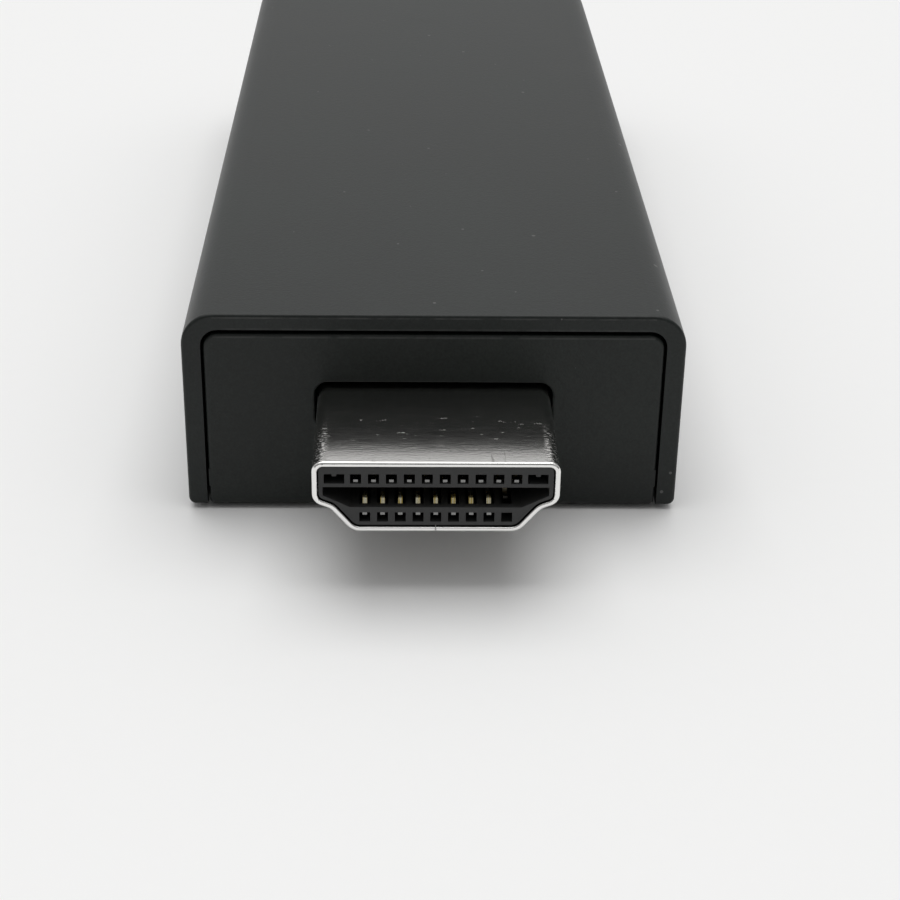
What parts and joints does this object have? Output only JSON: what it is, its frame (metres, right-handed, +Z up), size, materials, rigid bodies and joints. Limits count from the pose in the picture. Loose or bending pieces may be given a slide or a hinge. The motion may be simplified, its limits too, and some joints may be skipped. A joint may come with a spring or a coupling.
{
  "type": "streaming stick",
  "caption": "Flat black media streaming stick: a rounded plastic case with a bare metal video plug at one end and a small power socket in its side.",
  "frame": {"origin": "centre of the footprint, on the table that the stick lies on", "axes": "+X across the case towards the power socket, +Y along it away from the plug, +Z up"},
  "size_m": [0.03, 0.086, 0.0131],
  "materials": {
    "cover_plastic": "fine matte texture",
    "chassis_plastic": "fine matte texture",
    "label_film": "satin film, blank",
    "plug_nickel": "nickel plate with fine handling scratches",
    "plug_moulding": "glass filled plastic",
    "contact_gold": "thin gold flash",
    "board_laminate": "green solder mask",
    "shield_tin": "tin plate",
    "chip_moulding": "moulded package",
    "coil_ferrite": "moulded ferrite",
    "capacitor_ceramic": "fired ceramic with tin ends",
    "crystal_can": "plated lid",
    "thermal_pad": "soft filled silicone",
    "heat_plate": "sheared sheet",
    "antenna_metal": "stamped sheet",
    "socket_steel": "plated stainless sheet",
    "socket_moulding": "moulded plastic",
    "screw_steel": "zinc plate"
  },
  "bodies": {
    "root": {"top_cover": "cover_plastic", "chassis": "chassis_plastic", "rating_label": "label_film", "plug_shell": "plug_nickel", "plug_insulator": "plug_moulding", "plug_upper_contacts": "contact_gold", "plug_lower_contacts": "contact_gold", "main_board": "board_laminate", "board_screws": "screw_steel", "upper_shield_frame": "shield_tin", "upper_shield_lid": "shield_tin", "lower_shield_frame": "shield_tin", "lower_shield_lid": "shield_tin", "processor": "chip_moulding", "memory_chip": "chip_moulding", "storage_chip": "chip_moulding", "power_manager": "chip_moulding", "radio_module": "shield_tin", "surge_arrays": "chip_moulding", "line_filters": "coil_ferrite", "power_inductors": "coil_ferrite", "ceramic_capacitors": "capacitor_ceramic", "crystals": "crystal_can", "processor_pad": "thermal_pad", "storage_pad": "thermal_pad", "upper_lid_pad": "thermal_pad", "lower_lid_pad": "thermal_pad", "top_heat_plate": "heat_plate", "bottom_heat_plate": "heat_plate", "left_antenna": "antenna_metal", "right_antenna": "antenna_metal", "socket_shell": "socket_steel", "socket_tongue": "socket_moulding", "socket_contacts": "contact_gold"}
  },
  "joints": []
}
